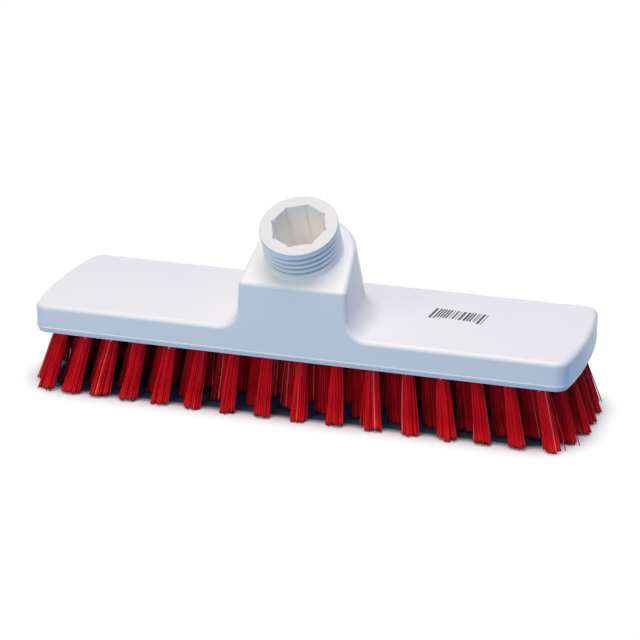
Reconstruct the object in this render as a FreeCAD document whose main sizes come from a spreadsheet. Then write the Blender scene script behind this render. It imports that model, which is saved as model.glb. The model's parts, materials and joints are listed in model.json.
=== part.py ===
import FreeCAD, Part
import math
import os

import Sketcher
from FreeCAD import Placement, Rotation, Vector

# Scrub brush head: one moulded block with a leaning neck and a threaded handle collar, drilled from
# below for bristle tufts, each folded over a flat wire anchor near the bottom of its hole.
# The moulding is parted into two nodes, the flat block and the neck, which fits a seat in the block's top.
# Frame: +Z up, the floor at the trimmed bristle tips, X along the block, the collar leans to the front, -Y.

# Driving dimensions: lengths in mm, names ending in angle in degrees, in count in pieces, in share as shares.
SIZES = {
    # Block
    "block_length": 300.0,
    "block_width": 90.0,
    "block_thickness": 16.0,
    "end_bow": 4.3,
    "corner_radius": 8.0,
    "edge_radius": 2.8,
    "bevel_height": 3.2,
    "bevel_inset": 0.8,
    # Neck, topped by a plane that leans with the collar
    "neck_front_width": 59.5,
    "neck_front_height": 25.0,
    "neck_back_radius": 27.5,
    "neck_root_radius": 11.0,
    "neck_seat_depth": 2.0,
    "neck_lean_angle": 30.0,
    # Collar and its thread
    "collar_setback": 26.0,
    "collar_diameter": 41.8,
    "collar_height": 20.0,
    "collar_root_radius": 1.0,
    "rim_edge_radius": 0.5,
    "thread_start": 3.6,
    "thread_pitch": 3.4,
    "thread_depth": 1.2,
    "thread_mouth_width": 2.2,
    "thread_root_width": 0.6,
    "thread_groove_count": 4,
    "thread_fade_angle": 64.0,
    "thread_turn_angle": 24.0,
    # Handle socket
    "socket_lobe_count": 8,
    "socket_corner_diameter": 30.4,
    "socket_flat_diameter": 27.6,
    "socket_floor_diameter": 26.4,
    "socket_lobe_width": 3.0,
    "socket_lobe_height": 1.2,
    "socket_turn_angle": -4.0,
    "socket_depth": 40.0,
    # Tuft field
    "bristle_height": 34.0,
    "field_end_margin": 8.0,
    "field_side_margin": 8.1,
    "field_end_bow": 10.0,
    "row_count": 7,
    "short_row_count": 16,
    "row_shift_share": -0.041,
    "row_bunch_share": 0.084,
    "end_lean_angle": 16.0,
    "side_lean_angle": 13.0,
    # Holes, tufts and anchors
    "hole_diameter": 6.0,
    "hole_depth": 11.0,
    "tuft_clearance": 0.2,
    "tuft_tip_diameter": 10.2,
    "fold_thickness": 1.4,
    "anchor_thickness": 0.5,
    "anchor_width": 2.0,
    "anchor_clearance": 0.1,
    "cut_overrun": 2.0,
}

# Two points closer than this, in mm, are the same point.
SAME_PLACE = 1e-4
# Angle of a whole revolution, in degrees.
FULL_TURN = 360

doc = FreeCAD.newDocument("scrub_brush")
sheet = doc.addObject("Spreadsheet::Sheet", "Sizes")
for line, (alias, value) in enumerate(SIZES.items(), start=1):
    sheet.set(f"A{line}", alias)
    sheet.set(f"B{line}", str(value))
    sheet.setAlias(f"B{line}", alias)
doc.recompute()


def size(alias):
    """One driving dimension, read back from the sheet."""
    return float(sheet.get(alias))


def count(alias):
    """One driving count, read back from the sheet."""
    return int(round(size(alias)))


def bind(feature, **expressions):
    """Tie a feature's properties to the sheet."""
    for name, expression in expressions.items():
        feature.setExpression(name, expression)


def bind_offset(sketch, y="0", z="0"):
    """Tie the place of a sketch to the sheet."""
    sketch.setExpression("AttachmentOffset.Base.y", y)
    sketch.setExpression("AttachmentOffset.Base.z", z)


def new_body(name):
    """An empty body."""
    return doc.addObject("PartDesign::Body", name)


def new_sketch(body, name, role, offset=Placement()):
    """An empty sketch on one of the body's own origin planes, moved by an offset."""
    plane = next(item for item in body.Origin.OriginFeatures if item.Role == role)
    sketch = body.newObject("Sketcher::SketchObject", name)
    sketch.AttachmentSupport = (plane, [""])
    sketch.MapMode = "FlatFace"
    sketch.AttachmentOffset = offset
    return sketch


def draw(sketch, edges):
    """Add edges to a sketch."""
    for edge in edges:
        sketch.addGeometry(edge)


def draw_polygon(sketch, points):
    """Add a closed polygon to a sketch."""
    draw(sketch, [Part.LineSegment(a, b) for a, b in zip(points, points[1:] + points[:1])])


def add_feature(body, kind, name, profile=None, **expressions):
    """Add a feature to a body, with its sizes tied to the sheet."""
    feature = body.newObject(f"PartDesign::{kind}", name)
    if profile is not None:
        feature.Profile = profile
    bind(feature, **expressions)
    return feature


def edge_names(shape, wanted):
    """Names of the edges of a shape whose ends and middle all pass a test."""
    names = []
    for number, edge in enumerate(shape.Edges, start=1):
        middle = edge.valueAt((edge.FirstParameter + edge.LastParameter) / 2)
        points = [vertex.Point for vertex in edge.Vertexes] + [middle]
        if all(wanted(point) for point in points):
            names.append(f"Edge{number}")
    return names


def dress_edges(body, kind, name, wanted, **expressions):
    """Fillet or chamfer the edges of the body so far that pass a test."""
    doc.recompute()
    base = body.Tip
    feature = add_feature(body, kind, name, **expressions)
    feature.Base = (base, edge_names(base.Shape, wanted))
    doc.recompute()
    return feature


def same(a, b):
    """Whether two lengths agree."""
    return abs(a - b) < SAME_PLACE


# Levels, directions and points that several features share
half_length = size("block_length") / 2
half_width = size("block_width") / 2
block_bottom = size("bristle_height")
block_top = block_bottom + size("block_thickness")
lean = math.radians(size("neck_lean_angle"))
collar_axis = Vector(0, -math.sin(lean), math.cos(lean))
up_slope = Vector(0, math.cos(lean), math.sin(lean))
slope_front = Vector(0, -half_width, block_top + size("neck_front_height"))
collar_base = slope_front + up_slope * size("collar_setback")
collar_rim = collar_base + collar_axis * size("collar_height")
collar_radius = size("collar_diameter") / 2

# Outline of the neck on its leaning plane: x across, y up the slope from its front edge
half_front = size("neck_front_width") / 2
back_centre = Vector(0, size("collar_setback"), 0)
back_radius = size("neck_back_radius")
front_reach = Vector(half_front, 0, 0) - back_centre
touch_angle = math.atan2(front_reach.y, front_reach.x) + math.acos(back_radius / front_reach.Length)
back_touch = back_centre + Vector(math.cos(touch_angle), math.sin(touch_angle), 0) * back_radius
side_taper = (half_front - back_touch.x) / back_touch.y
front_drop = size("neck_front_height") * math.sin(lean)
half_foot = max(half_front + side_taper * front_drop, back_radius)


def height_on_slope(point):
    """Height of a point above the plane that tops the neck."""
    return (point - slope_front).dot(collar_axis)


def square_to_collar(point):
    """Offset of a sketch that is centred on a point and lies square to the collar axis."""
    return Placement(point, Rotation(Vector(1, 0, 0), size("neck_lean_angle")))


def block_outline():
    """Plan outline of the block: straight sides, bowed ends and rounded corners."""
    corner = size("corner_radius")
    bow = size("end_bow")
    end_radius = (half_width ** 2 + bow ** 2) / (2 * bow)
    end_centre_x = half_length - end_radius
    corner_y = half_width - corner
    corner_x = end_centre_x + math.sqrt((end_radius - corner) ** 2 - corner_y ** 2)
    end_turn = math.atan2(corner_y, corner_x - end_centre_x)
    side_turn = math.pi / 2

    def on_corner(angle, x_sign, y_sign):
        return Vector(x_sign * (corner_x + corner * math.cos(angle)),
                      y_sign * (corner_y + corner * math.sin(angle)), 0)

    corner_turns = (side_turn, (side_turn + end_turn) / 2, end_turn)
    edges = []
    for sign in (1, -1):
        side_start = on_corner(side_turn, -sign, -sign)
        side_end = on_corner(side_turn, sign, -sign)
        end_tip = Vector(sign * half_length, 0, 0)
        edges.append(Part.LineSegment(side_start, side_end))
        edges.append(Part.Arc(*(on_corner(turn, sign, -sign) for turn in corner_turns)))
        edges.append(Part.Arc(on_corner(end_turn, sign, -sign), end_tip, on_corner(end_turn, sign, sign)))
        edges.append(Part.Arc(*(on_corner(turn, sign, sign) for turn in reversed(corner_turns))))
    return edges


def add_slab(body):
    """The flat block, before its edges are rounded."""
    outline = new_sketch(body, "slab_outline", "XY_Plane", Placement(Vector(0, 0, block_bottom), Rotation()))
    draw(outline, block_outline())
    bind_offset(outline, z="Sizes.bristle_height")
    slab = add_feature(body, "Pad", "slab", outline, Length="Sizes.block_thickness")
    doc.recompute()
    return slab


def add_neck(body, slab):
    """The neck, square to its leaning plane: straight sides tangent to a round back, trimmed flush with
    the block where it stands out.
    """
    front = front_drop + size("cut_overrun")
    front_right = Vector(half_front + side_taper * front, -front, 0)
    front_left = Vector(-front_right.x, -front, 0)
    back_left = Vector(-back_touch.x, back_touch.y, 0)
    outline = new_sketch(body, "neck_outline", "XY_Plane", square_to_collar(slope_front))
    draw(outline, [
        Part.LineSegment(front_left, front_right),
        Part.LineSegment(front_right, back_touch),
        Part.Arc(back_touch, back_centre + Vector(0, back_radius, 0), back_left),
        Part.LineSegment(back_left, front_left),
    ])
    top_face = next(number for number, face in enumerate(slab.Shape.Faces, start=1)
                    if same(face.BoundBox.ZMin, block_top))
    neck = add_feature(body, "Pad", "neck", outline)
    neck.Type = "UpToFace"
    neck.UpToFace = (slab, [f"Face{top_face}"])
    neck.UseCustomVector = True
    neck.Direction = collar_axis * -1
    doc.recompute()

    for side, sign in (("front", "+"), ("back", "-")):
        trim = new_sketch(body, f"{side}_trim_outline", "XZ_Plane")
        draw_polygon(trim, [
            Vector(-half_length, block_bottom, 0),
            Vector(half_length, block_bottom, 0),
            Vector(half_length, collar_rim.z, 0),
            Vector(-half_length, collar_rim.z, 0),
        ])
        bind_offset(trim, z=f"{sign}Sizes.block_width / 2")
        cut = add_feature(body, "Pocket", f"{side}_trim", trim)
        cut.Type = "ThroughAll"
        cut.Reversed = side == "front"
        doc.recompute()


def add_collar(body):
    """The round collar on the leaning plane."""
    outline = new_sketch(body, "collar_outline", "XY_Plane", square_to_collar(collar_base))
    circle = outline.addGeometry(Part.Circle(Vector(0, 0, 0), Vector(0, 0, 1), collar_radius))
    outline.addConstraint(Sketcher.Constraint("Coincident", circle, 3, -1, 1))
    diameter = outline.addConstraint(Sketcher.Constraint("Diameter", circle, size("collar_diameter")))
    outline.renameConstraint(diameter, "diameter")
    bind(outline, **{"Constraints.diameter": "Sizes.collar_diameter"})
    add_feature(body, "Pad", "collar", outline, Length="Sizes.collar_height")


def round_block(body):
    """The wide hollow fillet round the neck's foot, the rounded edges and the bevel along the bottom."""
    foot_reach = half_foot + size("neck_root_radius")

    def at_neck_foot(point):
        beside_neck = abs(point.x) < half_foot + SAME_PLACE
        return same(point.z, block_top) and beside_neck and point.y < half_width - SAME_PLACE

    def on_outer_edge(point):
        on_outline = abs(point.x) > foot_reach - SAME_PLACE or same(abs(point.y), half_width)
        on_top = same(point.z, block_top) and on_outline
        on_side = same(abs(point.y), half_width) and point.z > block_top - SAME_PLACE
        off_collar = (point - collar_base).Length > collar_radius + SAME_PLACE
        on_slope = same(height_on_slope(point), 0) and off_collar
        return on_top or on_side or on_slope

    def at_bottom(point):
        return same(point.z, block_bottom)

    def at_collar_foot(point):
        return same(height_on_slope(point), 0) and same((point - collar_base).Length, collar_radius)

    dress_edges(body, "Fillet", "neck_foot", at_neck_foot, Radius="Sizes.neck_root_radius")
    dress_edges(body, "Fillet", "outer_edges", on_outer_edge, Radius="Sizes.edge_radius")
    dress_edges(body, "Fillet", "collar_foot", at_collar_foot, Radius="Sizes.collar_root_radius")
    bevel = dress_edges(body, "Chamfer", "bottom_bevel", at_bottom,
                        Size="Sizes.bevel_height", Size2="Sizes.bevel_inset")
    bevel.ChamferType = "Two distances"
    doc.recompute()


def add_thread(body):
    """Right-hand thread grooves in two runs, one on each half of the collar, that fade out in between.

    Each groove turns about an axis set off from the collar's own, so it leaves the collar's surface at
    the fade angle to either side. That axis is tilted by the thread's lead, so the runs of the two
    halves follow each other.
    """
    depth = size("thread_depth")
    fade = math.radians(size("thread_fade_angle"))
    offset = depth / (1 - math.cos(fade))
    overrun = size("cut_overrun")
    half_mouth = size("thread_mouth_width") / 2
    half_root = size("thread_root_width") / 2
    half_outer = half_mouth + (half_mouth - half_root) * overrun / depth
    lead_angle = math.degrees(math.atan2(size("thread_pitch"), math.pi * size("collar_diameter")))
    root = collar_radius - depth
    outer = collar_radius + overrun

    for half, side in enumerate(("front", "back")):
        turn_angle = size("thread_turn_angle") + half * FULL_TURN / 2
        outward = Rotation(collar_axis, turn_angle).multVec(up_slope * -1)
        tilted_axis = Rotation(outward, lead_angle).multVec(collar_axis)
        section = Rotation(outward, tilted_axis, outward.cross(tilted_axis), "XYZ")
        grooves = new_sketch(body, f"thread_section_{side}", "XY_Plane", Placement(collar_rim, section))
        turning_axis = Part.LineSegment(Vector(-offset, 0, 0), Vector(-offset, -size("collar_height"), 0))
        grooves.addGeometry(turning_axis, True)
        for groove in range(count("thread_groove_count")):
            turns = groove + half / 2
            middle = -size("thread_start") - half_mouth - turns * size("thread_pitch")
            draw_polygon(grooves, [
                Vector(root, middle - half_root, 0),
                Vector(outer, middle - half_outer, 0),
                Vector(outer, middle + half_outer, 0),
                Vector(root, middle + half_root, 0),
            ])
        cut = add_feature(body, "Groove", f"thread_{side}", grooves)
        cut.ReferenceAxis = (grooves, ["Axis0"])
        cut.Angle = FULL_TURN
        doc.recompute()


def socket_outline(corner_radius):
    """Section of the handle socket: nearly straight sides with a small round lobe at each corner."""
    lobes = count("socket_lobe_count")
    scale = corner_radius / (size("socket_corner_diameter") / 2)
    flat_radius = scale * size("socket_flat_diameter") / 2
    shoulder_radius = scale * (size("socket_corner_diameter") / 2 - size("socket_lobe_height"))
    half_lobe = scale * size("socket_lobe_width") / 2
    step = 2 * math.pi / lobes
    first = math.radians(size("socket_turn_angle"))

    def polar(radius, angle, aside=0):
        return Vector(radius * math.cos(angle) - aside * math.sin(angle),
                      radius * math.sin(angle) + aside * math.cos(angle), 0)

    edges = []
    for lobe in range(lobes):
        angle = first + lobe * step
        lobe_start = polar(shoulder_radius, angle, -half_lobe)
        lobe_end = polar(shoulder_radius, angle, half_lobe)
        next_start = polar(shoulder_radius, angle + step, -half_lobe)
        edges.append(Part.Arc(lobe_start, polar(corner_radius, angle), lobe_end))
        edges.append(Part.Arc(lobe_end, polar(flat_radius, angle + step / 2), next_start))
    return edges


def add_socket(body):
    """The tapered handle socket, from the collar's rim down into the neck."""
    socket_floor = collar_rim - collar_axis * size("socket_depth")
    mouth = new_sketch(body, "socket_mouth", "XY_Plane", square_to_collar(collar_rim))
    draw(mouth, socket_outline(size("socket_corner_diameter") / 2))
    floor = new_sketch(body, "socket_floor", "XY_Plane", square_to_collar(socket_floor))
    draw(floor, socket_outline(size("socket_floor_diameter") / 2))
    socket = add_feature(body, "SubtractiveLoft", "socket", mouth)
    socket.Sections = [floor]
    socket.Ruled = True

    def on_rim(point):
        return same(height_on_slope(point), size("collar_height"))

    dress_edges(body, "Fillet", "rim_edges", on_rim, Radius="Sizes.rim_edge_radius")


def build_block():
    """The moulded block with its neck, collar and socket, not yet drilled."""
    body = new_body("block_moulding")
    slab = add_slab(body)
    add_neck(body, slab)
    add_collar(body)
    round_block(body)
    add_thread(body)
    add_socket(body)
    return body


def tuft_places():
    """Row, column and placement of every tuft: origin at its hole's mouth, local +Z up the hole.

    Short and long rows alternate, so the tufts of one row face the gaps of the next. The pitch is wider
    in the middle of a row than at its ends, and the middle is shifted to one side. The tufts lean
    outwards, the more the nearer they are to the edge of the field.
    """
    rows = count("row_count")
    half_field = half_length - size("field_end_margin")
    half_depth = half_width - size("field_side_margin")
    shift = size("row_shift_share")
    bunch = size("row_bunch_share")
    end_slope = math.tan(math.radians(size("end_lean_angle")))
    side_slope = math.tan(math.radians(size("side_lean_angle")))
    for row in range(rows):
        depth_share = 2 * row / (rows - 1) - 1
        long_row = row % 2
        tufts = count("short_row_count") + long_row
        row_end = half_field - size("field_end_bow") * depth_share ** 2
        for place in range(tufts):
            along = 2 * place / (tufts - 1) - 1
            x = row_end * (along + (shift + bunch * along) * (1 - along ** 2))
            up_hole = Vector(-end_slope * x / half_field, -side_slope * depth_share, 1)
            mouth = Vector(x, half_depth * depth_share, block_bottom)
            column = 2 * place + 1 - long_row
            yield row, column, Placement(mouth, Rotation(Vector(0, 0, 1), up_hole))


def build_tuft():
    """One bundle of bristles, straight in its hole and flaring below, with a slot for its anchor."""
    body = new_body("tuft_template")
    root_radius = size("hole_diameter") / 2 - size("tuft_clearance")
    tip_radius = size("tuft_tip_diameter") / 2
    fold_top = size("hole_depth") - size("tuft_clearance")
    steepest = math.radians(size("end_lean_angle") + size("side_lean_angle"))
    longest = size("bristle_height") / math.cos(steepest)
    reach = longest + size("cut_overrun")
    reach_radius = root_radius + (tip_radius - root_radius) * reach / size("bristle_height")
    profile = new_sketch(body, "tuft_profile", "XZ_Plane")
    draw_polygon(profile, [
        Vector(0, fold_top, 0),
        Vector(0, -reach, 0),
        Vector(reach_radius, -reach, 0),
        Vector(root_radius, 0, 0),
        Vector(root_radius, fold_top, 0),
    ])
    bundle = add_feature(body, "Revolution", "bundle", profile)
    bundle.ReferenceAxis = (profile, ["V_Axis"])
    bundle.Angle = FULL_TURN
    doc.recompute()
    slot = new_sketch(body, "anchor_slot_outline", "YZ_Plane")
    half_slot = size("anchor_thickness") / 2 + size("anchor_clearance")
    slot_top = fold_top - size("fold_thickness")
    slot_bottom = slot_top - size("anchor_width") - 2 * size("anchor_clearance")
    draw_polygon(slot, [
        Vector(-half_slot, slot_bottom, 0),
        Vector(half_slot, slot_bottom, 0),
        Vector(half_slot, slot_top, 0),
        Vector(-half_slot, slot_top, 0),
    ])
    pocket = add_feature(body, "Pocket", "anchor_slot", slot, Length="2 * Sizes.hole_diameter")
    pocket.Midplane = True
    doc.recompute()
    return body


def build_anchor():
    """One flat wire anchor, lying across its hole inside the fold of the tuft."""
    body = new_body("anchor_template")
    half_thickness = size("anchor_thickness") / 2
    hole_radius = size("hole_diameter") / 2 - size("anchor_clearance")
    half_wire = math.sqrt(hole_radius ** 2 - half_thickness ** 2)
    top = size("hole_depth") - size("tuft_clearance") - size("fold_thickness") - size("anchor_clearance")
    outline = new_sketch(body, "anchor_outline", "XZ_Plane")
    draw_polygon(outline, [
        Vector(-half_wire, top - size("anchor_width"), 0),
        Vector(half_wire, top - size("anchor_width"), 0),
        Vector(half_wire, top, 0),
        Vector(-half_wire, top, 0),
    ])
    wire = add_feature(body, "Pad", "anchor_wire", outline, Length="Sizes.anchor_thickness")
    wire.Midplane = True
    doc.recompute()
    return body


def build_drill():
    """One blind hole, as the solid that the drill sweeps."""
    drill = doc.addObject("Part::Cylinder", "drill_template")
    bind(drill, Radius="Sizes.hole_diameter / 2", Height="Sizes.hole_depth + Sizes.cut_overrun")
    drill.setExpression("Placement.Base.z", "-Sizes.cut_overrun")
    doc.recompute()
    return drill


def build_floor():
    """The space below the floor, which the bristle tips are trimmed to."""
    floor = doc.addObject("Part::Box", "trimmed_space")
    bind(floor, Length="2 * Sizes.block_length", Width="2 * Sizes.block_width", Height="Sizes.bristle_height")
    floor.setExpression("Placement.Base.x", "-Sizes.block_length")
    floor.setExpression("Placement.Base.y", "-Sizes.block_width")
    floor.setExpression("Placement.Base.z", "-Sizes.bristle_height")
    doc.recompute()
    return floor


def build_neck_space():
    """The space of the neck: its seat in the block's top, as wide as its whole foot, and all above it."""
    half_seat = half_foot + size("neck_root_radius") + size("edge_radius")
    space = doc.addObject("Part::Box", "neck_space")
    space.Length = 2 * half_seat
    space.Height = size("neck_seat_depth") + collar_rim.z + collar_radius - block_top
    bind(space, Width="2 * Sizes.block_width")
    space.Placement.Base = Vector(-half_seat, 0, 0)
    space.setExpression("Placement.Base.y", "-Sizes.block_width")
    space.setExpression("Placement.Base.z",
                        "Sizes.bristle_height + Sizes.block_thickness - Sizes.neck_seat_depth")
    doc.recompute()
    return space


def combine(kind, label, base, tool):
    """A solid cut from another, or common to both."""
    result = doc.addObject(f"Part::{kind}", label)
    result.Base = base
    result.Tool = tool
    result.Label = label
    return result


def placed(template, place):
    """A copy of a template's shape, moved to its place."""
    shape = template.Shape.copy()
    shape.Placement = place.multiply(shape.Placement)
    return shape


def group(label, shapes):
    """A node made of separate solids."""
    node = doc.addObject("Part::Feature", label)
    node.Shape = Part.makeCompound([solid for shape in shapes for solid in shape.Solids])
    node.Placement = Placement()
    node.Label = label
    return node


def build_nodes():
    """Every node of the brush: the drilled block, the neck, the tufts by column and the anchors by row."""
    moulding = build_block()
    tuft = build_tuft()
    anchor = build_anchor()
    drill = build_drill()
    below_floor = build_floor()
    neck_space = build_neck_space()
    places = list(tuft_places())

    holes = group("drilled_holes", [placed(drill, place) for row, column, place in places])
    flat_block = combine("Cut", "flat_block", moulding, neck_space)
    nodes = [
        combine("Cut", "brush_block", flat_block, holes),
        combine("Common", "handle_neck", moulding, neck_space),
    ]

    for column in sorted({column for row, column, place in places}):
        bundles = [placed(tuft, place) for row, found, place in places if found == column]
        trimmed = [bundle.cut(below_floor.Shape) for bundle in bundles]
        nodes.append(group(f"tufts_column_{column + 1:02d}", trimmed))
    for chosen in range(count("row_count")):
        wires = [placed(anchor, place) for row, column, place in places if row == chosen]
        nodes.append(group(f"anchors_row_{chosen + 1}", wires))
    doc.recompute()
    return nodes


def check_model(nodes):
    """Stop if any object failed, or a node is empty or not valid."""
    for item in doc.Objects:
        if {"Invalid", "Error"} & set(item.State):
            raise RuntimeError(f"{item.Label} failed: {item.State}")
    for node in nodes:
        if node.Shape.isNull() or not node.Shape.Solids or not node.Shape.isValid():
            raise RuntimeError(f"{node.Label} has no valid shape")


nodes = build_nodes()
check_model(nodes)
os.makedirs("parts", exist_ok=True)
for node in nodes:
    node.Shape.exportStep(f"parts/{node.Label}.step")
    print(f"{node.Label}: {len(node.Shape.Solids)} solids, {node.Shape.Volume:.0f} mm3")
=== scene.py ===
"""Looks of the scrub brush head: bristle filaments, plastic, printed bars, studio and camera, in metres."""
import json
import math

import bpy
import numpy as np
from mathutils import Matrix, Vector


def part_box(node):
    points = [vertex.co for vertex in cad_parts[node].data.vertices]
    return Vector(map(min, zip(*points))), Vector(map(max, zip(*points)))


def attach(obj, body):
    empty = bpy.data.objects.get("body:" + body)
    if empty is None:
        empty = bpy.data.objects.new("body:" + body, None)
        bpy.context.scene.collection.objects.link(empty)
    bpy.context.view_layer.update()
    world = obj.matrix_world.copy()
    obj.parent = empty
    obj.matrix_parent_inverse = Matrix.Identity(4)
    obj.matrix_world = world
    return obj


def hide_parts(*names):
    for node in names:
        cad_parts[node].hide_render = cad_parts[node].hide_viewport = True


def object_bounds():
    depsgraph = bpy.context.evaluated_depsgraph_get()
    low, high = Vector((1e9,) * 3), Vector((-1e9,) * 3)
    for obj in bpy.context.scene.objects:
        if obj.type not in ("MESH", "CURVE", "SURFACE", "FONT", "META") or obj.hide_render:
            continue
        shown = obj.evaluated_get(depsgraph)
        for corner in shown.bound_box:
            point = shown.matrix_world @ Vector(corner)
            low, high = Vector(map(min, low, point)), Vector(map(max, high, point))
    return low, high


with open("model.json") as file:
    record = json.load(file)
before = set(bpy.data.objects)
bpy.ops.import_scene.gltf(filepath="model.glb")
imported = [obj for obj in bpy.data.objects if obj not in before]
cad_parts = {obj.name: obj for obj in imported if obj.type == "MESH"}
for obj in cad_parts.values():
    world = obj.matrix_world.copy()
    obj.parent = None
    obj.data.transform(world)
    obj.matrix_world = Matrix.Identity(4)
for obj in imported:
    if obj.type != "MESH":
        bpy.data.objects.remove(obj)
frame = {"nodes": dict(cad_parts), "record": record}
cad_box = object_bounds()
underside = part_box("brush_block")[0].z

MM = 0.001
UP = np.array([0.0, 0.0, 1.0])
TO_BACK = np.array([0.0, 1.0, 0.0])

# Camera, fitted to the outline of the block in the photograph
CAMERA_AZIMUTH = math.radians(16.8671)
CAMERA_ELEVATION = math.radians(20.4288)
CAMERA_ROLL = math.radians(0.3528)
CAMERA_DISTANCE = 1249.787 * MM
CAMERA_ASIDE = 2.076 * MM
CAMERA_ABOVE = 6.891 * MM
AIM = Vector((0.0, 0.0, 34.0 * MM))
FOCAL_PIXELS = 2301.1
IMAGE_PIXELS = 640
SENSOR_WIDTH = 36.0

# Bristle tufts
SEED = 41
TUFT_GAP = 5.0 * MM
TIP_SLACK = 0.1 * MM
ROOT_SLACK = 0.4 * MM
AXIS_ROUNDS = 4
FILAMENT_COUNT = 100
FILAMENT_RADIUS = 0.30 * MM
FILAMENT_SIDES = 5
ROOT_SINK = 4.0 * MM
ROOT_RADIUS = 2.55 * MM
TIP_RADIUS = 4.6 * MM
TIP_DEPTH_SHARE = 0.65
RING_SHARES = np.array([0.0, 0.1, 0.4, 0.7, 1.0])
FLARE_SHARES = np.array([0.0, 0.28, 0.54, 0.77, 1.0])
STRAND_COUNT = 6
STRAND_PULL_SHARE = 0.28
STRAND_SPREAD_SHARE = 1.10
STRAND_RISE = 2.0 * MM
TIP_RISE = 0.5 * MM
TIP_JITTER_SHARE = 0.07
SWAY = 0.2 * MM
STRAY_SHARE = 0.02
STRAY_SPREAD_SHARES = (1.2, 1.6)
GOLDEN_ANGLE = math.pi * (3.0 - math.sqrt(5.0))

# Marks of each filament for its material: tone, way along and paleness
TONE_MIDDLE_SHARE = 0.5
TONE_SPREAD_SHARE = 0.24
PALE_SHARE = 0.03
HIDDEN_SHARE = 0.1

# Picture map of the filaments: a strip for the walls of each, with its root and tip caps above
STRIP_FILL_SHARE = 0.8
STRIP_TOP_SHARE = 0.92
CAP_MIDDLE_SHARE = 0.5
CAP_REACH_SHARE = 0.4

# In the materials a noise is a scale and a detail, a spread or a roughness carries one range to another,
# and a relief is a strength and a depth

# White plastic
CLOUD_NOISE = (14.0, 4.0)
PLASTIC_TONES = [(0.32, (0.862, 0.862, 0.866)), (0.68, (0.878, 0.878, 0.878))]
DUST_NOISE = (900.0, 2.0)
DUST_SPREAD = (0.70, 0.78, 0.0, 0.10)
DUST_COLOUR = (0.62, 0.61, 0.60)
HANDLING_NOISE = (45.0, 1.0)
PLASTIC_ROUGHNESS = (0.30, 0.72, 0.30, 0.33)
GRAIN_NOISE = (1500.0, 2.0)
GRAIN_RELIEF = (0.04, 0.03 * MM)
PLASTIC_SPECULAR = 0.3

# Painted light and shade on the collar: outside painted lighter, socket painted lighter and cream, rim
# painted a darker cream, painted shade in the thread and under the rim
COLLAR_SKIN = 2.4 * MM
COLLAR_SLACK = 0.6 * MM
# Painted light: colour that makes the collar's outside lighter and warmer
COLLAR_LIGHT_COLOUR = (0.99, 0.975, 0.94)
SOCKET_REACH = 15.6 * MM
# Painted light: colour that makes the inside of the socket lighter and warmer
SOCKET_LIGHT_COLOUR = (0.985, 0.975, 0.955)
RIM_DEPTH = 0.3 * MM
# Painted shade: colour that makes the top of the rim darker
RIM_SHADE_COLOUR = (0.745, 0.738, 0.728)
# Painted shade: a dark line just under the rim
RIM_LINE_START = 0.6 * MM
RIM_LINE_END = 1.2 * MM
RIM_LINE_SHARE = 0.6
THREAD_START = 2.4 * MM
THREAD_END = 18.4 * MM
# Painted shade: darkening in the thread grooves
GROOVE_SHADE_DEPTH = 0.5 * MM
GROOVE_SHADE_SHARE = 0.5
GROOVE_SHADE_COLOUR = (0.22, 0.25, 0.29)
TONE_BLEND = 0.3 * MM

# Red filament
FILAMENT_TONES = [(0.0, (0.65, 0.003, 0.009)), (0.45, (0.84, 0.006, 0.014)), (1.0, (0.93, 0.009, 0.019))]
STREAK_STRETCH = (1.0, 1.0, 0.06)
STREAK_NOISE = (1800.0, 2.0)
STREAK_SPREAD = (0.35, 0.7, 0.0, 0.22)
STREAK_RELIEF = (0.15, 0.05 * MM)
# Painted shade: filaments darker towards the tips
TIPWARD_SHADE_SPREAD = (0.3, 1.0, 0.0, 0.45)
DARK_STREAK_AND_SHADE_COLOUR = (0.50, 0.002, 0.007)
# A few pale filaments: partly lighter filaments, partly painted highlights
PALE_SPREAD = (0.0, 1.0, 0.0, 0.8)
PALE_COLOUR = (0.95, 0.26, 0.20)
# Painted shade: dark tip ends
TIP_END_SHADE_SPREAD = (0.95, 1.0, 0.0, 0.75)
TIP_END_SHADE_COLOUR = (0.08, 0.003, 0.014)
SHEEN_NOISE = (700.0, 3.0)
FILAMENT_ROUGHNESS = (0.3, 0.7, 0.38, 0.55)
FILAMENT_SPECULAR = 0.15

# Flat wire
WIRE_STRETCH = (0.05, 1.0, 1.0)
WIRE_NOISE = (2600.0, 3.0)
WIRE_TONES = [(0.3, (0.52, 0.51, 0.48)), (0.7, (0.68, 0.67, 0.64))]
WIRE_ROUGHNESS = (0.3, 0.7, 0.28, 0.46)
WIRE_RELIEF = (0.2, 0.02 * MM)

# Printing ink
INK_NOISE = (1400.0, 3.0)
INK_TONES = [(0.35, (0.018, 0.018, 0.022)), (0.75, (0.08, 0.08, 0.09))]
INK_ROUGHNESS = (0.3, 0.7, 0.38, 0.55)
INK_RELIEF = (0.1, 0.01 * MM)

# Parting line of the mould, just under the top of the bevel
BEVEL_HEIGHT = 3.2 * MM
LEVEL_SLACK = 0.01 * MM
RING_DIGITS = 7
RIDGE_DROP = 0.6 * MM
RIDGE_PROUD = 0.17 * MM
RIDGE_HALF_HEIGHT = 0.6 * MM
RIDGE_SINK = 0.4 * MM
RIDGE_STEPS = 6

# Burrs of the drilled holes
BURR_PLACES = [place * MM for place in (-120.0, -103.6, -73.6, 59.3, 81.6, 138.0)]
BURR_SHARE = 0.1
BURR_RIM_RADIUS = 3.05 * MM
BURR_LENGTH = 3.4 * MM
BURR_LENGTH_SHARES = (0.7, 1.0)
BURR_WIDTH = 0.9 * MM
BURR_THICKNESS = 0.14 * MM
BURR_SINK = 0.3 * MM
BURR_STEPS = 7
BURR_CURL = math.radians(75.0)
BURR_CURL_SHARES = (0.5, 1.0)

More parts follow.
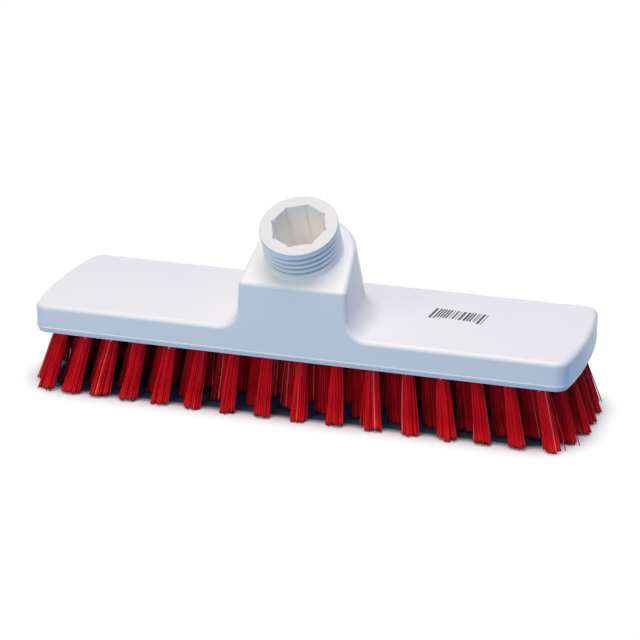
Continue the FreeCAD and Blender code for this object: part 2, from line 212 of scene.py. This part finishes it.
# Printed bars on top of the block, with widths and spaces in units
BARS_CENTRE = Vector((78.1 * MM, 7.6 * MM))
BARS_TURN = math.radians(-4.5)
BARS_LENGTH = 30.6 * MM
BAR_HEIGHT = 13.0 * MM
BAR_UNIT = 0.51 * MM
BAR_TAIL = 2.2 * MM
BAR_RAISE = 0.02 * MM
BAR_SINK = 0.05 * MM
BAR_WIDTHS = (1, 1, 2, 3)
SPACE_WIDTHS = (1, 1, 2, 2)
GUARD_BARS = 2

# Studio
FLOOR_RADIUS = 4000.0 * MM
FLOOR_SIDES = 96
FLOOR_COLOUR = (0.90, 0.90, 0.91)
FLOOR_BOUNCE_COLOUR = (0.16, 0.42, 0.76)
SHADOW_REACH = 18.0 * MM
SHADE_INSET = 9.0 * MM
SHADE_CORNER = 25.0 * MM
SHADE_BLEND = 6.0 * MM
# Painted shade on the floor under the brush
SHADE_COLOUR = (0.05, 0.07, 0.13)
KEY_PLACE = Vector((50.0, -220.0, 1230.0)) * MM
KEY_SIZE = 850.0 * MM
KEY_POWER = 12.4
KEY_COLOUR = (1.0, 0.90, 0.835)
FILL_PLACE = Vector((-330.0, -1010.0, 500.0)) * MM
FILL_SIZE = 700.0 * MM
FILL_POWER = 4.2
FILL_COLOUR = (1.0, 0.90, 0.60)
AMBIENT_COLOUR = (0.19, 0.46, 1.0)
AMBIENT_STRENGTH = 0.26
WHITE = (1.0, 1.0, 1.0)

# Sockets of a colour mix, whose names its other kinds of mix repeat
MIX_FACTOR = 0
MIX_FIRST = 6
MIX_SECOND = 7
MIX_RESULT = 2


def add_node(tree, kind, **settings):
    """Add a node with its settings."""
    node = tree.nodes.new(kind)
    for key, value in settings.items():
        setattr(node, key, value)
    return node


def feed(tree, socket, value):
    """Set a socket to a value, or link an output to it."""
    if isinstance(value, bpy.types.NodeSocket):
        tree.links.new(value, socket)
    else:
        socket.default_value = value


def feed_colour(tree, socket, colour):
    """Set a socket to a colour of three parts, or link an output to it."""
    feed(tree, socket, colour if isinstance(colour, bpy.types.NodeSocket) else (*colour, 1.0))


def object_coordinates(tree, stretch=(1.0, 1.0, 1.0)):
    """Places on the object, stretched along its axes."""
    coordinates = add_node(tree, "ShaderNodeTexCoord")
    mapping = add_node(tree, "ShaderNodeMapping")
    tree.links.new(coordinates.outputs["Object"], mapping.inputs["Vector"])
    mapping.inputs["Scale"].default_value = stretch
    return mapping.outputs["Vector"]


def noise(tree, place, scale, detail):
    """Cloudy noise from zero to one."""
    node = add_node(tree, "ShaderNodeTexNoise")
    feed(tree, node.inputs["Vector"], place)
    node.inputs["Scale"].default_value = scale
    node.inputs["Detail"].default_value = detail
    return node.outputs["Fac"]


def spread(tree, value, start, end, low=0.0, high=1.0, kind="LINEAR"):
    """Carry a value from one range to another, held at its ends."""
    node = add_node(tree, "ShaderNodeMapRange", interpolation_type=kind)
    feed(tree, node.inputs["Value"], value)
    node.inputs["From Min"].default_value = start
    node.inputs["From Max"].default_value = end
    node.inputs["To Min"].default_value = low
    node.inputs["To Max"].default_value = high
    return node.outputs["Result"]


def arithmetic(tree, operation, first, second):
    """One step of arithmetic on two values."""
    node = add_node(tree, "ShaderNodeMath", operation=operation)
    feed(tree, node.inputs[0], first)
    feed(tree, node.inputs[1], second)
    return node.outputs["Value"]


def vector_step(tree, operation, first, second=(0.0, 0.0, 0.0)):
    """One step of arithmetic on one or two vectors."""
    node = add_node(tree, "ShaderNodeVectorMath", operation=operation)
    feed(tree, node.inputs[0], first)
    feed(tree, node.inputs[1], second)
    return node.outputs["Value" if operation in ("LENGTH", "DOT_PRODUCT") else "Vector"]


def ramp(tree, factor, stops):
    """Colours that blend from stop to stop."""
    node = add_node(tree, "ShaderNodeValToRGB")
    feed(tree, node.inputs["Fac"], factor)
    elements = node.color_ramp.elements
    while len(elements) < len(stops):
        elements.new(1.0)
    for element, (place, colour) in zip(elements, stops):
        element.position = place
        element.color = (*colour, 1.0)
    return node.outputs["Color"]


def mix_colours(tree, factor, first, second):
    """The first colour, carried over to the second by a factor."""
    node = add_node(tree, "ShaderNodeMix", data_type="RGBA")
    feed(tree, node.inputs[MIX_FACTOR], factor)
    feed_colour(tree, node.inputs[MIX_FIRST], first)
    feed_colour(tree, node.inputs[MIX_SECOND], second)
    return node.outputs[MIX_RESULT]


def mix_shaders(tree, factor, first, second, output):
    """Show one shader at an output node, carried over to a second one by a factor."""
    mix = add_node(tree, "ShaderNodeMixShader")
    for socket, source in zip(mix.inputs, (factor, first, second)):
        tree.links.new(source, socket)
    tree.links.new(mix.outputs["Shader"], tree.nodes[output].inputs["Surface"])


def bump(tree, height, strength, depth):
    """Fine relief from a height."""
    node = add_node(tree, "ShaderNodeBump")
    feed(tree, node.inputs["Height"], height)
    node.inputs["Strength"].default_value = strength
    node.inputs["Distance"].default_value = depth
    return node.outputs["Normal"]


def new_material(name):
    """A material with its node tree and its shader."""
    material = bpy.data.materials.new(name)
    material.use_nodes = True
    tree = material.node_tree
    return material, tree, tree.nodes["Principled BSDF"]


def dress(tree, shader, colour, roughness, normal):
    """Link a shader's colour, roughness and relief."""
    for name, source in (("Base Color", colour), ("Roughness", roughness), ("Normal", normal)):
        tree.links.new(source, shader.inputs[name])


def within(tree, value, start, end):
    """One between two values, with soft ends, and zero elsewhere."""
    after = spread(tree, value, start - TONE_BLEND, start + TONE_BLEND)
    before = spread(tree, value, end + TONE_BLEND, end - TONE_BLEND)
    return arithmetic(tree, "MULTIPLY", after, before)


def collar_light_and_shade(tree, colour):
    """Carry a colour over to the painted light and shade of the collar, told apart by depth below the rim
    and by radius.
    """
    mount = next(item for item in frame["record"]["mounts"] if item["name"] == "collar_thread")
    crest = mount["dims"]["r_mm"] * MM
    length = mount["dims"]["length_mm"] * MM
    from_rim = vector_step(tree, "SUBTRACT", object_coordinates(tree), mount["pos_m"])
    depth = vector_step(tree, "DOT_PRODUCT", from_rim, [-part for part in mount["axis"]])
    radius = vector_step(tree, "LENGTH", vector_step(tree, "CROSS_PRODUCT", from_rim, mount["axis"]))

    beside = within(tree, radius, crest - COLLAR_SKIN, crest + COLLAR_SLACK)
    on_collar = arithmetic(tree, "MULTIPLY", beside, within(tree, depth, 0.0, length))
    # Painted light on the collar's outside
    colour = mix_colours(tree, on_collar, colour, COLLAR_LIGHT_COLOUR)
    below_rim = spread(tree, depth, RIM_DEPTH, RIM_DEPTH + TONE_BLEND)
    on_rim = arithmetic(tree, "SUBTRACT", spread(tree, radius, crest + TONE_BLEND, crest), below_rim)
    # Painted shade on the rim
    colour = mix_colours(tree, on_rim, colour, RIM_SHADE_COLOUR)
    in_socket = arithmetic(tree, "MULTIPLY", within(tree, radius, -crest, SOCKET_REACH), below_rim)
    # Painted light inside the socket
    colour = mix_colours(tree, in_socket, colour, SOCKET_LIGHT_COLOUR)

    # Painted shade in the thread grooves and in a line under the rim
    outside = within(tree, radius, crest - COLLAR_SKIN, crest)
    sunk = spread(tree, radius, crest, crest - GROOVE_SHADE_DEPTH, 0.0, GROOVE_SHADE_SHARE)
    in_thread = arithmetic(tree, "MULTIPLY", sunk, within(tree, depth, THREAD_START, THREAD_END))
    rim_line = within(tree, depth, RIM_LINE_START, RIM_LINE_END)
    under_rim = arithmetic(tree, "MULTIPLY", rim_line, RIM_LINE_SHARE)
    groove_shade = arithmetic(tree, "MULTIPLY", outside, arithmetic(tree, "MAXIMUM", in_thread, under_rim))
    return mix_colours(tree, groove_shade, colour, GROOVE_SHADE_COLOUR)


def moulded_plastic():
    """White moulded plastic: faint cloudy tone, satin gloss, fine grain, a little dust, and painted light
    and shade on the collar.
    """
    material, tree, shader = new_material("white_plastic")
    place = object_coordinates(tree)
    tone = ramp(tree, noise(tree, place, *CLOUD_NOISE), PLASTIC_TONES)
    dust = spread(tree, noise(tree, place, *DUST_NOISE), *DUST_SPREAD)
    colour = collar_light_and_shade(tree, mix_colours(tree, dust, tone, DUST_COLOUR))
    roughness = spread(tree, noise(tree, place, *HANDLING_NOISE), *PLASTIC_ROUGHNESS)
    dress(tree, shader, colour, roughness, bump(tree, noise(tree, place, *GRAIN_NOISE), *GRAIN_RELIEF))
    shader.inputs["Specular IOR Level"].default_value = PLASTIC_SPECULAR
    return material


def red_filament():
    """Red extruded filament, toned one by one, with painted shade deepening towards the tips and darkest on
    the tip ends, and a few pale ones that are partly painted highlights.
    """
    material, tree, shader = new_material("red_filament")
    marks = add_node(tree, "ShaderNodeAttribute", attribute_name="filament")
    parts = add_node(tree, "ShaderNodeSeparateColor")
    tree.links.new(marks.outputs["Color"], parts.inputs["Color"])
    tone, along, pale = (parts.outputs[name] for name in ("Red", "Green", "Blue"))
    streaks = noise(tree, object_coordinates(tree, STREAK_STRETCH), *STREAK_NOISE)
    colour = ramp(tree, tone, FILAMENT_TONES)
    # Dark streaks, painted shade towards the tips, pale filaments that are partly painted highlights, and
    # painted shade on the tip ends
    for mark, reach, over in ((streaks, STREAK_SPREAD, DARK_STREAK_AND_SHADE_COLOUR), (along, TIPWARD_SHADE_SPREAD, DARK_STREAK_AND_SHADE_COLOUR),
                              (pale, PALE_SPREAD, PALE_COLOUR), (along, TIP_END_SHADE_SPREAD, TIP_END_SHADE_COLOUR)):
        colour = mix_colours(tree, spread(tree, mark, *reach), colour, over)
    roughness = spread(tree, noise(tree, object_coordinates(tree), *SHEEN_NOISE), *FILAMENT_ROUGHNESS)
    dress(tree, shader, colour, roughness, bump(tree, streaks, *STREAK_RELIEF))
    shader.inputs["Specular IOR Level"].default_value = FILAMENT_SPECULAR
    return material


def flat_wire():
    """Drawn steel wire with lines along the draw."""
    material, tree, shader = new_material("flat_wire")
    lines = noise(tree, object_coordinates(tree, WIRE_STRETCH), *WIRE_NOISE)
    dress(tree, shader, ramp(tree, lines, WIRE_TONES), spread(tree, lines, *WIRE_ROUGHNESS),
          bump(tree, lines, *WIRE_RELIEF))
    shader.inputs["Metallic"].default_value = 1.0
    return material


def printing_ink():
    """Dark printed ink, a little thin in places."""
    material, tree, shader = new_material("printing_ink")
    cover = noise(tree, object_coordinates(tree), *INK_NOISE)
    dress(tree, shader, ramp(tree, cover, INK_TONES), spread(tree, cover, *INK_ROUGHNESS),
          bump(tree, cover, *INK_RELIEF))
    return material


def new_piece(name, points, faces, material):
    """A piece of the brush from its points and faces."""
    mesh = bpy.data.meshes.new(name)
    mesh.from_pydata(points, [], faces)
    piece = bpy.data.objects.new(name, mesh)
    bpy.context.scene.collection.objects.link(piece)
    mesh.materials.append(material)
    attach(piece, "root")
    return piece


def add_run(points, faces, loops):
    """Add a closed solid through loops of corners, with a wall between each two and a cap at each end."""
    corners = len(loops[0])
    start = len(points)
    for loop in loops:
        points.extend(loop)
    end = len(points) - corners
    for low in range(start, end, corners):
        for corner in range(corners):
            after = (corner + 1) % corners
            faces.append((low + corner, low + after, low + corners + after, low + corners + corner))
    faces.append(tuple(reversed(range(start, start + corners))))
    faces.append(tuple(range(end, end + corners)))


def mesh_points(item):
    """The points of an object's mesh as an array."""
    points = np.empty(len(item.data.vertices) * 3)
    item.data.vertices.foreach_get("co", points)
    return points.reshape(-1, 3)


def middle(points):
    """The middle of the box round some points."""
    return (points.min(axis=0) + points.max(axis=0)) / 2


def tufts_of(item):
    """Tip centre and direction from tip to root of each tuft in a node, front to back, from its mesh."""
    points = mesh_points(item)
    order = np.argsort(points[:, 1])
    breaks = np.flatnonzero(np.diff(points[order, 1]) > TUFT_GAP) + 1
    tufts = []
    for group in np.split(order, breaks):
        solid = points[group]
        tip = middle(solid[solid[:, 2] < TIP_SLACK])
        axis = UP
        for _ in range(AXIS_ROUNDS):
            heights = (solid - tip) @ axis
            root = middle(solid[heights > heights.max() - ROOT_SLACK])
            axis = (root - tip) / np.linalg.norm(root - tip)
        tufts.append((tip, axis))
    return tufts


def mouth_of(tip, axis):
    """Where a tuft leaves its hole."""
    return tip + axis * (underside - tip[2]) / axis[2]


def across(axis):
    """Two directions square to an axis."""
    first = np.cross(TO_BACK, axis)
    first = first / np.linalg.norm(first)
    return np.stack([first, np.cross(axis, first)])


def filament_plan(chance):
    """Places of one tuft's filaments in the hole and at the tips, in radii, and the rise of each tip."""
    number = np.arange(FILAMENT_COUNT)
    radii = np.sqrt((number + 0.5) / FILAMENT_COUNT)
    angles = number * GOLDEN_ANGLE + chance.uniform(0.0, math.tau)
    spots = np.column_stack([radii * np.cos(angles), radii * np.sin(angles)])
    strands = spots[chance.choice(FILAMENT_COUNT, STRAND_COUNT, replace=False)]
    nearest = np.argmin(np.linalg.norm(spots[:, None] - strands[None], axis=2), axis=1)
    ends = spots + (strands[nearest] - spots) * STRAND_PULL_SHARE
    ends = ends * STRAND_SPREAD_SHARE + chance.normal(0.0, TIP_JITTER_SHARE, spots.shape)
    stray = chance.uniform(size=FILAMENT_COUNT) < STRAY_SHARE
    ends[stray] = ends[stray] * chance.uniform(*STRAY_SPREAD_SHARES, (stray.sum(), 1))
    ends = ends * np.array([1.0, TIP_DEPTH_SHARE])
    rises = chance.uniform(0.0, STRAND_RISE, STRAND_COUNT)[nearest]
    rises = rises + chance.uniform(0.0, TIP_RISE, FILAMENT_COUNT)
    return spots, ends, rises


def filament_rings(chance, tip, axis):
    """Ring centres of one tuft's filaments, from inside the hole to the trimmed tips, and their marks."""
    spots, ends, rises = filament_plan(chance)
    plane = across(axis)
    mouth = mouth_of(tip, axis)
    root_asides = ROOT_RADIUS * spots @ plane
    roots = mouth + root_asides + axis * ROOT_SINK
    tip_asides = TIP_RADIUS * ends @ plane
    tip_asides = tip_asides + axis * ((rises - tip_asides[:, 2]) / axis[2])[:, None]
    sway = chance.normal(0.0, SWAY, (2, FILAMENT_COUNT)).T @ plane
    shares = RING_SHARES[None, :, None]
    flares = FLARE_SHARES[None, :, None]
    runs = mouth + (tip - mouth) * shares + sway[:, None] * np.sin(math.pi * shares)
    runs = runs + root_asides[:, None] * (1.0 - flares) + tip_asides[:, None] * flares
    rings = np.concatenate([roots[:, None], runs], axis=1)
    tones = np.clip(chance.normal(TONE_MIDDLE_SHARE, TONE_SPREAD_SHARE, FILAMENT_COUNT), 0.0, 1.0)
    pales = (chance.uniform(size=FILAMENT_COUNT) < PALE_SHARE).astype(float)
    return rings, tones, pales


def tube_faces(filaments, levels):
    """Walls of closed tubes, ring by ring, and the caps of their roots and then their tips."""
    index = np.arange(filaments * levels * FILAMENT_SIDES).reshape(filaments, levels, FILAMENT_SIDES)
    turned = np.roll(index, -1, axis=2)
    walls = np.stack([index[:, :-1], turned[:, :-1], turned[:, 1:], index[:, 1:]], axis=-1)
    caps = np.concatenate([index[:, 0], index[:, -1, ::-1]])
    return walls.reshape(-1, walls.shape[-1]).tolist(), caps.tolist()


def tube_map(filaments, along, turns):
    """Picture map of the tubes, in the order of their faces."""
    strip = STRIP_FILL_SHARE / filaments
    lefts = (np.arange(filaments) + (1.0 - STRIP_FILL_SHARE) / 2) / filaments
    columns = lefts[:, None] + strip * np.arange(FILAMENT_SIDES + 1) / FILAMENT_SIDES
    heights = along * STRIP_TOP_SHARE
    walls = np.empty((filaments, len(along) - 1, FILAMENT_SIDES, 4, 2))
    walls[..., (0, 3), 0] = columns[:, None, :-1, None]
    walls[..., (1, 2), 0] = columns[:, None, 1:, None]
    walls[..., (0, 1), 1] = heights[None, :-1, None, None]
    walls[..., (2, 3), 1] = heights[None, 1:, None, None]
    cap_height = (1.0 - STRIP_TOP_SHARE) / 2
    caps = np.empty((2, filaments, FILAMENT_SIDES, 2))
    caps[..., 0] = lefts[:, None] + strip * (CAP_MIDDLE_SHARE + CAP_REACH_SHARE * np.cos(turns))
    caps[..., 1] = 1.0 - cap_height * (CAP_MIDDLE_SHARE + CAP_REACH_SHARE * np.sin(turns))
    caps[0, ..., 1] = caps[0, ..., 1] - cap_height
    return np.concatenate([walls.ravel(), caps.ravel()])


def bristle_column(number, item, material, chance):
    """The filaments of one column of tufts, as closed tubes, in place of the column's solids."""
    turns = np.arange(FILAMENT_SIDES) * math.tau / FILAMENT_SIDES
    along = np.concatenate([[0.0], HIDDEN_SHARE + (1.0 - HIDDEN_SHARE) * RING_SHARES])
    points = []
    marks = []
    for tip, axis in tufts_of(item):
        rings, tones, pales = filament_rings(chance, tip, axis)
        circle = FILAMENT_RADIUS * np.column_stack([np.cos(turns), np.sin(turns)]) @ across(axis)
        tubes = rings[:, :, None] + circle
        mark = np.ones((*tubes.shape[:3], 4))
        mark[..., 0] = tones[:, None, None]
        mark[..., 1] = along[None, :, None]
        mark[..., 2] = pales[:, None, None]
        points.append(tubes.reshape(-1, 3))
        marks.append(mark.ravel())
    filaments = len(points) * FILAMENT_COUNT
    walls, caps = tube_faces(filaments, len(along))
    name = "bristles_column_%02d" % number
    piece = new_piece(name, np.concatenate(points), walls + caps, material)
    mesh = piece.data
    mesh.polygons.foreach_set("use_smooth", [True] * len(walls) + [False] * len(caps))
    layer = mesh.attributes.new("filament", "FLOAT_COLOR", "POINT")
    layer.data.foreach_set("color", np.concatenate(marks))
    picture = mesh.uv_layers.new(name="OFBake")
    picture.uv.foreach_set("vector", tube_map(filaments, along, turns))
    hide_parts(item.name)


def parting_line(material):
    """A low ridge round the block just under the top of its bevel, where the halves of the mould met."""
    level = underside + BEVEL_HEIGHT
    points = mesh_points(bpy.data.objects["brush_block"])
    ring = np.unique(points[abs(points[:, 2] - level) < LEVEL_SLACK].round(RING_DIGITS), axis=0)
    ring = ring[np.argsort(np.arctan2(ring[:, 1], ring[:, 0]))]
    run = np.roll(ring, -1, axis=0) - np.roll(ring, 1, axis=0)
    out = np.column_stack([run[:, 1], -run[:, 0], np.zeros(len(ring))])
    out = out / np.linalg.norm(out, axis=1, keepdims=True)
    turns = np.linspace(-math.pi / 2, math.pi / 2, RIDGE_STEPS + 1)
    reach = np.concatenate([[-RIDGE_SINK], RIDGE_PROUD * np.cos(turns), [-RIDGE_SINK]])
    rise = RIDGE_HALF_HEIGHT * np.concatenate([[-1.0], np.sin(turns), [1.0]])
    places = ring[:, None] + out[:, None] * reach[None, :, None]
    places[..., 2] = places[..., 2] + rise - RIDGE_DROP
    index = np.arange(places.shape[0] * places.shape[1]).reshape(places.shape[:2])
    beside = np.roll(index, -1, axis=0)
    walls = np.stack([index, beside, np.roll(beside, -1, axis=1), np.roll(index, -1, axis=1)], axis=-1)
    faces = walls.reshape(-1, walls.shape[-1]).tolist()
    piece = new_piece("parting_line", places.reshape(-1, 3), faces, material)
    piece.data.polygons.foreach_set("use_smooth", [True] * len(faces))


def burr_places(columns, chance):
    """Mouths and outward angles of the burrs: those the photograph shows in front, and a few others."""
    mouths = np.array([mouth_of(tip, axis) for item in columns for tip, axis in tufts_of(item)])
    front = mouths[mouths[:, 1] < mouths[:, 1].min() + TUFT_GAP]
    places = [(front[np.argmin(abs(front[:, 0] - place))], -math.pi / 2) for place in BURR_PLACES]
    for mouth in mouths[chance.uniform(size=len(mouths)) < BURR_SHARE]:
        places.append((mouth, chance.uniform(0.0, math.tau)))
    return places


def drill_burrs(columns, material, chance):
    """Thin curled flakes that hang from the rims of some holes."""
    points = []
    faces = []
    for mouth, angle in burr_places(columns, chance):
        out = np.array([math.cos(angle), math.sin(angle), 0.0])
        aside = np.array([-math.sin(angle), math.cos(angle), 0.0])
        place = mouth + out * BURR_RIM_RADIUS + UP * BURR_SINK
        length = BURR_LENGTH * chance.uniform(*BURR_LENGTH_SHARES)
        curl = BURR_CURL * chance.uniform(*BURR_CURL_SHARES)
        loops = []
        for step in range(BURR_STEPS + 1):
            share = step / BURR_STEPS
            tilt = curl * share
            half_width = aside * (BURR_WIDTH * (1.0 - share * share) + BURR_THICKNESS) / 2
            half_depth = (out * math.cos(tilt) + UP * math.sin(tilt)) * BURR_THICKNESS / 2
            loops.append([place - half_width - half_depth, place + half_width - half_depth,
                          place + half_width + half_depth, place - half_width + half_depth])
            place = place + (out * math.sin(tilt) - UP * math.cos(tilt)) * length / BURR_STEPS
        add_run(points, faces, loops)
    new_piece("drill_burrs", points, faces, material)


def bar_runs(chance):
    """Start and end of each bar along the row, of random widths that spell nothing."""
    runs = []
    place = 0
    total = round(BARS_LENGTH / BAR_UNIT)
    while place < total:
        width = chance.choice(BAR_WIDTHS)
        runs.append((place, min(place + width, total)))
        place = place + width + chance.choice(SPACE_WIDTHS)
    return [(first * BAR_UNIT, last * BAR_UNIT) for first, last in runs]


def cad_top_level():
    """Height of the block's flat top, the highest level of the block at its ends."""
    points = mesh_points(bpy.data.objects["brush_block"])
    return points[abs(points[:, 0]) > BARS_CENTRE.x, 2].max()


def printed_bars(material, chance):
    """A row of plain bars printed on the top face, in place of the photograph's coded label."""
    top = cad_top_level()
    turn = Matrix.Rotation(BARS_TURN, 2)
    runs = bar_runs(chance)
    points = []
    faces = []
    for number, (first, last) in enumerate(runs):
        guard = number < GUARD_BARS or number >= len(runs) - GUARD_BARS
        low = -BAR_HEIGHT / 2 - (BAR_TAIL if guard else 0.0)
        corners = [(first, low), (last, low), (last, BAR_HEIGHT / 2), (first, BAR_HEIGHT / 2)]
        spots = [BARS_CENTRE + turn @ Vector((x - BARS_LENGTH / 2, y)) for x, y in corners]
        levels = (top - BAR_SINK, top + BAR_RAISE)
        add_run(points, faces, [[(spot.x, spot.y, level) for spot in spots] for level in levels])
    new_piece("printed_bars", points, faces, material)


def seen_directly(tree):
    """One for rays that show the background: camera, gloss and glass."""
    rays = add_node(tree, "ShaderNodeLightPath")
    seen = arithmetic(tree, "MAXIMUM", rays.outputs["Is Camera Ray"], rays.outputs["Is Glossy Ray"])
    return arithmetic(tree, "MAXIMUM", seen, rays.outputs["Is Transmission Ray"])


def floor_material():
    """Pale floor with painted deep shade under the brush, that runs out to plain white away from it."""
    material, tree, shader = new_material("studio_floor")
    tree.nodes.remove(shader)
    seen = seen_directly(tree)
    inset = SHADE_INSET + SHADE_CORNER
    around = vector_step(tree, "ABSOLUTE", object_coordinates(tree))
    beyond = vector_step(tree, "SUBTRACT", around, (cad_box[1].x - inset, cad_box[1].y - inset, 0.0))
    reach = vector_step(tree, "LENGTH", vector_step(tree, "MAXIMUM", beyond))
    outside = arithmetic(tree, "SUBTRACT", reach, SHADE_CORNER)
    # Painted shade under the brush, with soft edges
    shade = spread(tree, outside, SHADE_BLEND / 2, -SHADE_BLEND / 2)
    pale = mix_colours(tree, shade, FLOOR_COLOUR, SHADE_COLOUR)
    lit = add_node(tree, "ShaderNodeBsdfDiffuse")
    feed(tree, lit.inputs["Color"], mix_colours(tree, seen, FLOOR_BOUNCE_COLOUR, pale))
    white = add_node(tree, "ShaderNodeEmission")
    fade = spread(tree, outside, 0.0, SHADOW_REACH, kind="SMOOTHSTEP")
    plain = arithmetic(tree, "MULTIPLY", fade, seen)
    mix_shaders(tree, plain, lit.outputs["BSDF"], white.outputs["Emission"], "Material Output")
    return material


def make_floor():
    """A wide round floor at the level of the tips."""
    turns = [math.tau * side / FLOOR_SIDES for side in range(FLOOR_SIDES)]
    points = [(FLOOR_RADIUS * math.cos(turn), FLOOR_RADIUS * math.sin(turn), 0.0) for turn in turns]
    mesh = bpy.data.meshes.new("studio_floor")
    mesh.from_pydata(points, [], [list(range(FLOOR_SIDES))])
    mesh.materials.append(floor_material())
    floor = bpy.data.objects.new("studio_floor", mesh)
    bpy.context.scene.collection.objects.link(floor)


def make_lamp(name, place, size, power, colour):
    """A soft square lamp turned towards the brush."""
    lamp = bpy.data.lights.new(name, "AREA")
    lamp.size = size
    lamp.energy = power
    lamp.color = colour
    item = bpy.data.objects.new(name, lamp)
    item.location = place
    item.rotation_euler = (AIM - place).to_track_quat("-Z", "Y").to_euler()
    bpy.context.scene.collection.objects.link(item)
    return item


def make_world():
    """White where it is seen, soft and bluish as light."""
    world = bpy.data.worlds.new("studio")
    bpy.context.scene.world = world
    world.use_nodes = True
    tree = world.node_tree
    light = tree.nodes["Background"]
    feed_colour(tree, light.inputs["Color"], AMBIENT_COLOUR)
    light.inputs["Strength"].default_value = AMBIENT_STRENGTH
    white = add_node(tree, "ShaderNodeBackground")
    feed_colour(tree, white.inputs["Color"], WHITE)
    mix_shaders(tree, seen_directly(tree), light.outputs["Background"], white.outputs["Background"],
                "World Output")


def make_camera():
    """A camera at the photograph's place, angle and lens."""
    back = Vector((math.cos(CAMERA_ELEVATION) * math.sin(CAMERA_AZIMUTH),
                   -math.cos(CAMERA_ELEVATION) * math.cos(CAMERA_AZIMUTH),
                   math.sin(CAMERA_ELEVATION)))
    right = Vector((math.cos(CAMERA_AZIMUTH), math.sin(CAMERA_AZIMUTH), 0.0))
    up = back.cross(right)
    rolled_right = right * math.cos(CAMERA_ROLL) + up * math.sin(CAMERA_ROLL)
    rolled_up = up * math.cos(CAMERA_ROLL) - right * math.sin(CAMERA_ROLL)
    placing = Matrix((rolled_right, rolled_up, back)).transposed().to_4x4()
    placing.translation = AIM + back * CAMERA_DISTANCE + right * CAMERA_ASIDE + up * CAMERA_ABOVE
    data = bpy.data.cameras.new("camera")
    data.sensor_fit = "HORIZONTAL"
    data.sensor_width = SENSOR_WIDTH
    data.lens = FOCAL_PIXELS / IMAGE_PIXELS * SENSOR_WIDTH
    camera = bpy.data.objects.new("camera", data)
    camera.matrix_world = placing
    bpy.context.scene.collection.objects.link(camera)
    bpy.context.scene.camera = camera


def paint(item, material):
    """Give a CAD node its material."""
    item.data.materials.clear()
    item.data.materials.append(material)


def main():
    plastic = moulded_plastic()
    filament = red_filament()
    wire = flat_wire()
    chance = np.random.RandomState(SEED)
    nodes = [bpy.data.objects[name] for name in sorted(frame["nodes"])]
    columns = [item for item in nodes if item.name.startswith("tufts")]
    for item in nodes:
        if item.name.startswith("anchors"):
            paint(item, wire)
    for name in ("brush_block", "handle_neck"):
        paint(bpy.data.objects[name], plastic)
    for number, item in enumerate(columns, start=1):
        bristle_column(number, item, filament, chance)
    parting_line(plastic)
    drill_burrs(columns, plastic, chance)
    printed_bars(printing_ink(), chance)
    make_floor()
    make_lamp("key_softbox", KEY_PLACE, KEY_SIZE, KEY_POWER, KEY_COLOUR)
    fill = make_lamp("fill_softbox", FILL_PLACE, FILL_SIZE, FILL_POWER, FILL_COLOUR)
    # Seen from behind, the fill's mirror image would turn the block's top white
    fill.visible_glossy = False
    make_world()
    make_camera()
    bpy.context.scene.view_settings.view_transform = "Standard"


main()
